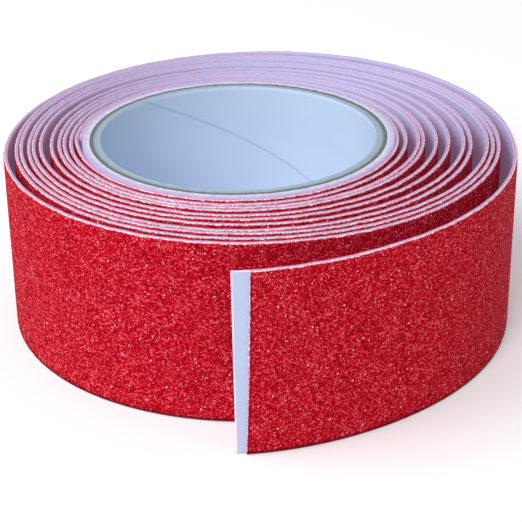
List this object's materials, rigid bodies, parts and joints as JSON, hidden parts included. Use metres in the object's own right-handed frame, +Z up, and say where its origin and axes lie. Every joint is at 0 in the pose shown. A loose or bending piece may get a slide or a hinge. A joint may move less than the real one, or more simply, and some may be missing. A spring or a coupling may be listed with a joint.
{
  "type": "grit tape roll",
  "caption": "Roll of coarse anti-slip grit tape on a paperboard core, standing on its edge, its free end unwinding and its release liner peeling.",
  "frame": {"origin": "centre of the box round the roll and its free tail, on the plane the roll stands on", "axes": "+Z up along the core's axis, -Y towards the free end of the tape, +X towards the loose side of the winding"},
  "size_m": [0.1398, 0.1554, 0.05],
  "materials": {
    "core_lining": "matte",
    "core_board": "matte",
    "core_wrap": "matte",
    "release_liner": "satin",
    "adhesive": "satin",
    "carrier_film": "satin",
    "grit_coat": "matte"
  },
  "bodies": {
    "root": {"core_lining_paper": "core_lining", "core_chipboard": "core_board", "core_white_wrap": "core_wrap", "coil_release_liner": "release_liner", "coil_adhesive": "adhesive", "coil_carrier_film": "carrier_film", "coil_grit_coat": "grit_coat"},
    "tail1": {"tail1_release_liner": "release_liner", "tail1_adhesive": "adhesive", "tail1_carrier_film": "carrier_film", "tail1_grit_coat": "grit_coat"},
    "tail2": {"tail2_release_liner": "release_liner", "tail2_adhesive": "adhesive", "tail2_carrier_film": "carrier_film", "tail2_grit_coat": "grit_coat"},
    "tail3": {"tail3_release_liner": "release_liner", "tail3_adhesive": "adhesive", "tail3_carrier_film": "carrier_film", "tail3_grit_coat": "grit_coat"},
    "tail4": {"tail4_release_liner": "release_liner", "tail4_adhesive": "adhesive", "tail4_carrier_film": "carrier_film", "tail4_grit_coat": "grit_coat"},
    "tail5": {"tail5_release_liner": "release_liner", "tail5_adhesive": "adhesive", "tail5_carrier_film": "carrier_film", "tail5_grit_coat": "grit_coat"},
    "tail6": {"tail6_release_liner": "release_liner", "tail6_adhesive": "adhesive", "tail6_carrier_film": "carrier_film", "tail6_grit_coat": "grit_coat"},
    "pull_tab": {"pull_tab_liner": "release_liner"}
  },
  "joints": [
    {"name": "unwind1", "type": "hinge", "parent": "root", "child": "tail1", "pos_m": [-0.01305, 0.07626, 0.025], "axis": [0, 0, 1], "range_deg": [0, 31.8], "stiffness_Nm_per_rad": 0.01},
    {"name": "unwind2", "type": "hinge", "parent": "tail1", "child": "tail2", "pos_m": [0.02541, 0.07309, 0.025], "axis": [0, 0, 1], "range_deg": [0, 34.89], "stiffness_Nm_per_rad": 0.01},
    {"name": "unwind3", "type": "hinge", "parent": "tail2", "child": "tail3", "pos_m": [0.05646, 0.04802, 0.025], "axis": [0, 0, 1], "range_deg": [0, 32.11], "stiffness_Nm_per_rad": 0.01},
    {"name": "unwind4", "type": "hinge", "parent": "tail3", "child": "tail4", "pos_m": [0.06969, 0.00977, 0.025], "axis": [0, 0, 1], "range_deg": [0, 28.35], "stiffness_Nm_per_rad": 0.01},
    {"name": "unwind5", "type": "hinge", "parent": "tail4", "child": "tail5", "pos_m": [0.06252, -0.031, 0.025], "axis": [0, 0, 1], "range_deg": [0, 32.07], "stiffness_Nm_per_rad": 0.01},
    {"name": "unwind6", "type": "hinge", "parent": "tail5", "child": "tail6", "pos_m": [0.03435, -0.06307, 0.025], "axis": [0, 0, 1], "range_deg": [0, 28.3], "stiffness_Nm_per_rad": 0.01},
    {"name": "liner_peel", "type": "hinge", "parent": "tail6", "child": "pull_tab", "pos_m": [0.00794, -0.07429, 0.025], "axis": [0, 0, -1], "range_deg": [0, 45], "stiffness_Nm_per_rad": 0.0002}
  ],
  "couplings": [
    {"joint": "unwind2", "follows": "unwind1", "ratio": 1.0956},
    {"joint": "unwind3", "follows": "unwind1", "ratio": 1.0082},
    {"joint": "unwind4", "follows": "unwind1", "ratio": 0.8899},
    {"joint": "unwind5", "follows": "unwind1", "ratio": 1.0069},
    {"joint": "unwind6", "follows": "unwind1", "ratio": 0.8884}
  ]
}
